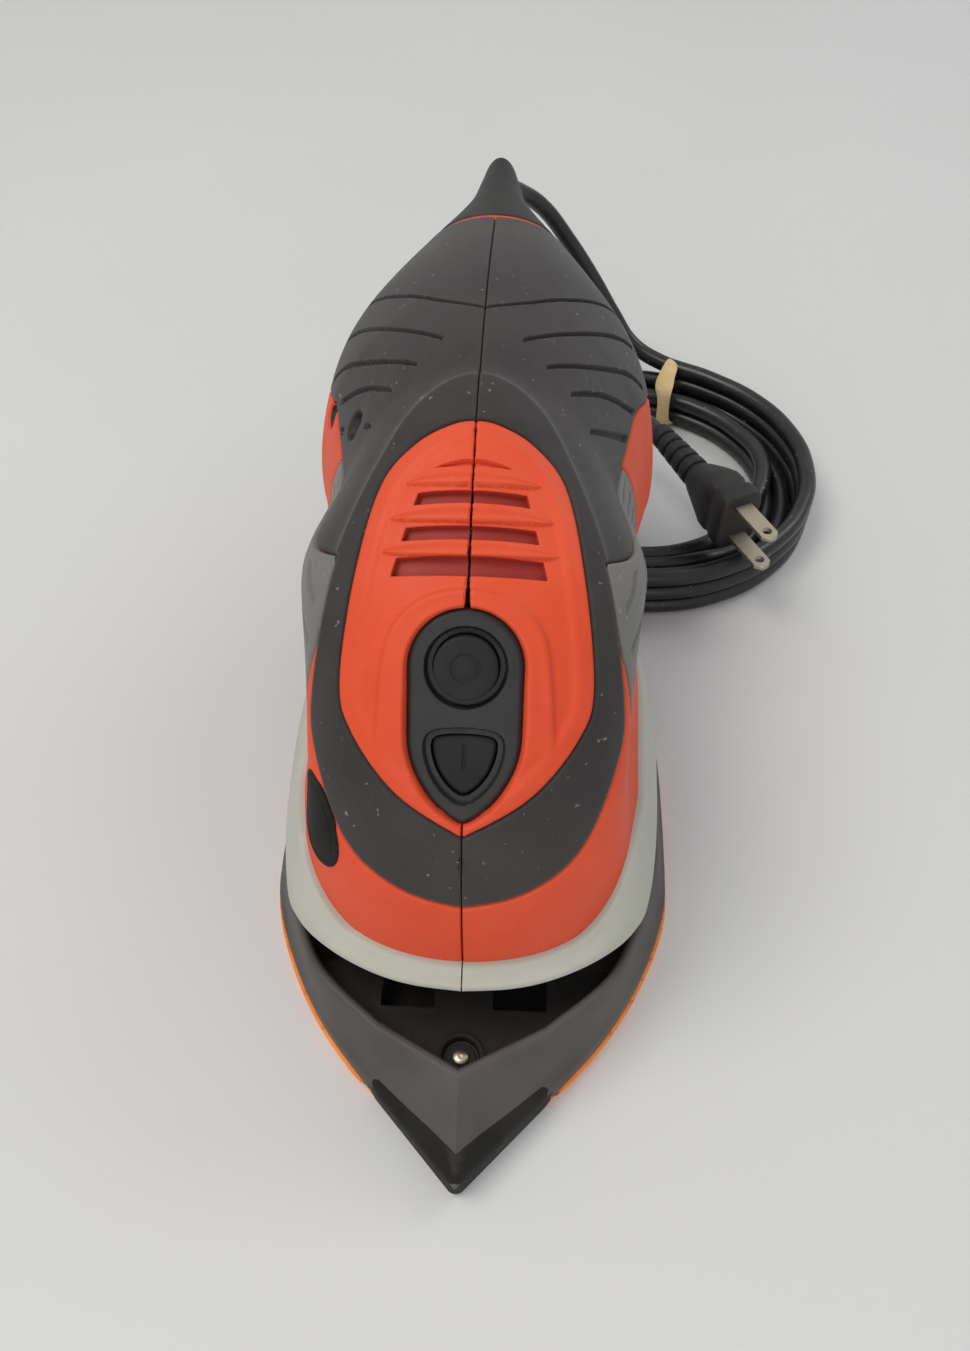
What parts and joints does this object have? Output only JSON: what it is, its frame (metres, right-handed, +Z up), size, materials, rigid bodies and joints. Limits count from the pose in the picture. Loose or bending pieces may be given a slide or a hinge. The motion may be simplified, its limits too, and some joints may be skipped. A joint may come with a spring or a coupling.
{
  "type": "orbital sander",
  "caption": "Corded orbital detail sander: iron-shaped platen with a pointed tip, palm dome with twin-button switch, rear tail handle, dust canister, coiled cord and plug.",
  "frame": {"origin": "bottom centre of the sander's own box, without its cord, on the surface that the pad rests on", "axes": "+Z up, -Y towards the pointed tip, +Y towards the tail, +X to the side where the coiled cord lies"},
  "size_m": [0.1744, 0.3424, 0.137],
  "materials": {
    "orange_shell": "satin moulded orange plastic",
    "overmold_rubber": "soft matte charcoal rubber",
    "grip_rubber": "ribbed dark grey rubber",
    "grey_shell": "satin warm grey plastic",
    "black_plastic": "fine textured black plastic",
    "platen_plastic": "matte dark grey plastic",
    "tip_plastic": "matte black plastic",
    "pad_foam": "dense orange foam with a hook face",
    "leg_rubber": "black rubber",
    "cord_rubber": "black vinyl cord jacket",
    "band_rubber": "tan rubber band",
    "rocker_plastic": "natural nylon",
    "screw_steel": "plated steel",
    "motor_steel": "machined steel",
    "copper_wire": "enamelled copper",
    "armature_stack": "laminated steel with windings",
    "carbon": "pressed carbon",
    "brass_parts": "pressed brass",
    "blade_metal": "nickel plated brass, worn",
    "fan_plastic": "nylon",
    "canister_plastic": "smoked dark plastic",
    "filter_paper": "pleated filter paper",
    "capacitor_film": "film capacitor case"
  },
  "bodies": {
    "housing": {"housing_left": "orange_shell", "housing_right": "orange_shell", "overmold_left": "overmold_rubber", "overmold_right": "overmold_rubber", "grip_left": "grip_rubber", "grip_right": "grip_rubber", "shroud_left": "grey_shell", "shroud_right": "grey_shell", "tail_cap": "black_plastic", "switch_bezel": "black_plastic", "rocker_pin": "screw_steel", "switch_body": "black_plastic", "housing_screws": "screw_steel", "side_label": "black_plastic", "stator_core": "motor_steel", "field_coils": "copper_wire", "brush_holders": "brass_parts", "carbon_brushes": "carbon", "brush_springs": "screw_steel", "upper_bearing": "motor_steel", "lower_bearing": "motor_steel", "upper_bracket": "black_plastic", "motor_bracket": "black_plastic", "bottom_cover": "black_plastic", "dust_duct": "black_plastic", "cord_clamp": "black_plastic", "clamp_screws": "screw_steel", "capacitor": "capacitor_film", "cord_guard": "cord_rubber", "power_cord": "cord_rubber", "cord_coil": "cord_rubber", "cord_band": "band_rubber", "plug_body": "cord_rubber", "plug_blades": "blade_metal"},
    "rotor": {"armature_shaft": "motor_steel", "armature_core": "armature_stack", "commutator": "copper_wire", "fan": "fan_plastic", "eccentric": "motor_steel"},
    "platen": {"platen": "platen_plastic", "platen_skirt": "platen_plastic", "platen_tip": "tip_plastic", "sanding_pad": "pad_foam", "tip_screw": "screw_steel", "platen_screws": "screw_steel", "platen_legs": "leg_rubber", "eccentric_bearing": "motor_steel"},
    "off_button": {"off_button": "black_plastic"},
    "on_button": {"on_button": "black_plastic"},
    "rocker": {"switch_rocker": "rocker_plastic"},
    "canister": {"dust_canister": "canister_plastic", "latch_spring": "screw_steel", "lid_pin": "screw_steel"},
    "lid": {"canister_lid": "canister_plastic", "dust_filter": "filter_paper"},
    "latch": {"canister_latch": "orange_shell"}
  },
  "joints": [
    {"name": "rotor_spin", "type": "hinge", "parent": "housing", "child": "rotor", "pos_m": [0, -0.04, 0.06], "axis": [0, 0, 1], "continuous": true},
    {"name": "platen_orbit", "type": "hinge", "parent": "rotor", "child": "platen", "pos_m": [0, -0.039, 0.017], "axis": [0, 0, 1], "continuous": true},
    {"name": "rocker_tilt", "type": "hinge", "parent": "housing", "child": "rocker", "pos_m": [0, -0.06628, 0.09342], "axis": [-1, 0, 0], "range_deg": [0, 12]},
    {"name": "off_press", "type": "slide", "parent": "housing", "child": "off_button", "axis": [0, 0.766, -0.6428], "range_m": [0, 0.00189]},
    {"name": "on_press", "type": "slide", "parent": "housing", "child": "on_button", "axis": [0, 0.766, -0.6428], "range_m": [-0.00189, 0]},
    {"name": "canister_pull", "type": "slide", "parent": "housing", "child": "canister", "axis": [0, 1, 0], "range_m": [0, 0.05]},
    {"name": "lid_swing", "type": "hinge", "parent": "canister", "child": "lid", "pos_m": [0, 0.0592, 0.0346], "axis": [-1, 0, 0], "range_deg": [0, 95]},
    {"name": "latch_press", "type": "slide", "parent": "canister", "child": "latch", "axis": [0, 0, -1], "range_m": [0, 0.0018], "stiffness_N_per_m": 500, "springref_m": -0.001, "deforming": ["latch_spring"]}
  ],
  "couplings": [
    {"joint": "platen_orbit", "follows": "rotor_spin", "ratio": -1},
    {"joint": "rocker_tilt", "follows": "off_press", "rad_per_m": 110.8},
    {"joint": "on_press", "follows": "off_press", "ratio": -1}
  ]
}
